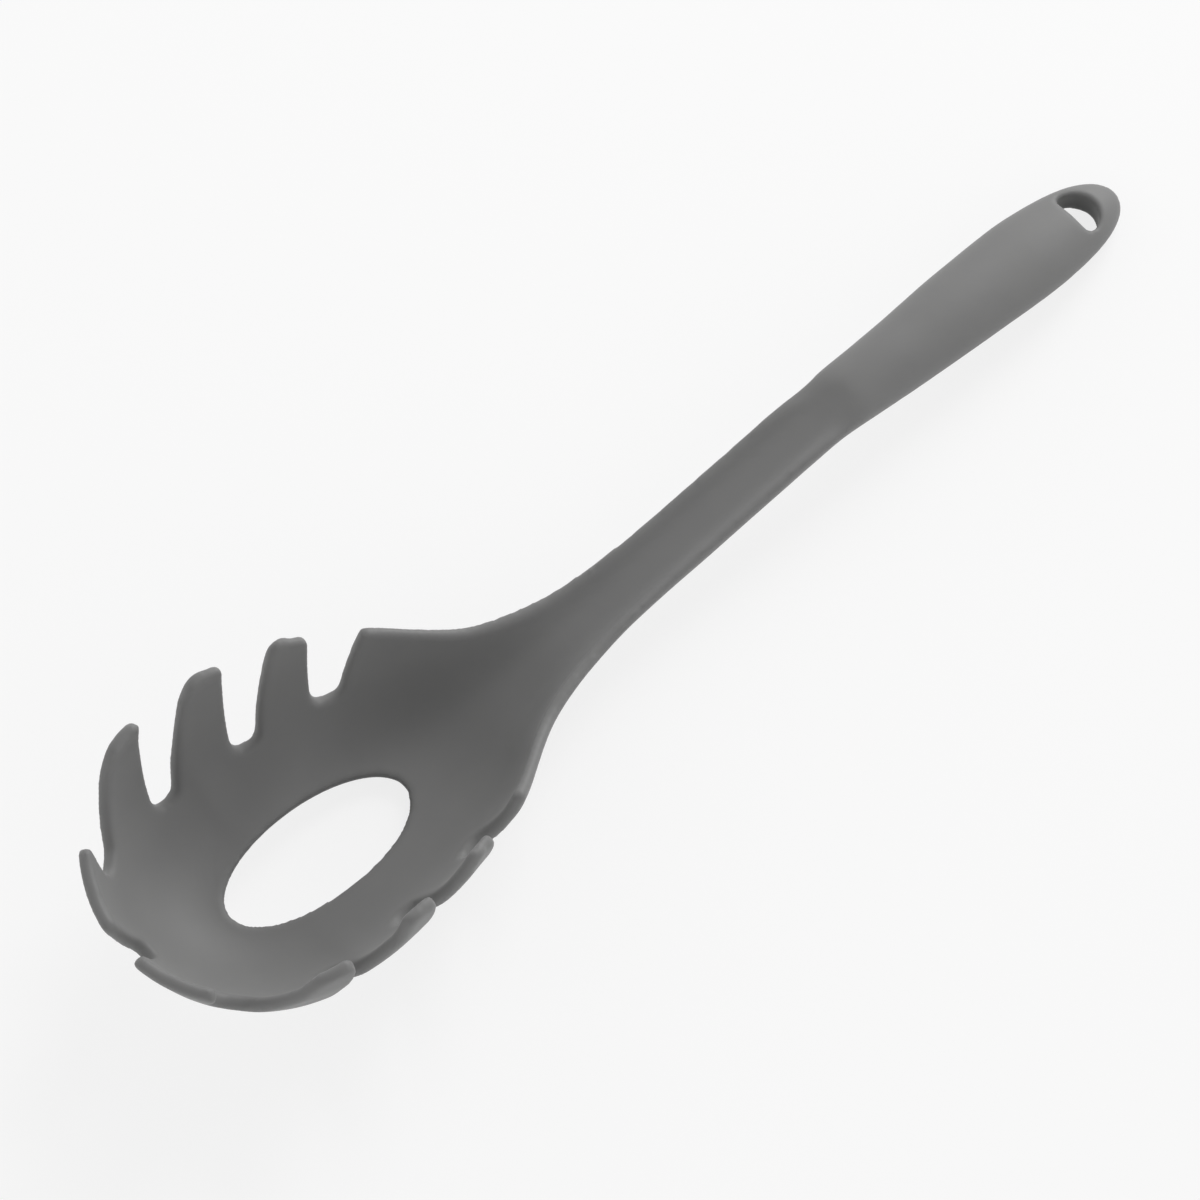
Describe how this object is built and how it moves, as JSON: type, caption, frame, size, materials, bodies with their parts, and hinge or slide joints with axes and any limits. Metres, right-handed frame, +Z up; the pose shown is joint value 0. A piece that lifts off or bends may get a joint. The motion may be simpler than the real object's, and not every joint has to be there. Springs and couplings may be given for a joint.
{
  "type": "pasta server",
  "caption": "Dark grey silicone pasta server: open toothed bowl with an oval drain hole, channelled neck and a slim rounded grip with a half-moon hang slot.",
  "frame": {"origin": "middle of the bounding box, on the table the tool lies on", "axes": "+X from the toothed bowl to the end of the grip, +Y to the tool's left side, +Z up, out of the open bowl"},
  "size_m": [0.2986, 0.0792, 0.0395],
  "materials": {
    "silicone": "satin",
    "nylon": "matte",
    "steel": "brushed"
  },
  "bodies": {
    "root": {"silicone_cover": "silicone", "head_core": "nylon", "steel_spine": "steel"}
  },
  "joints": []
}
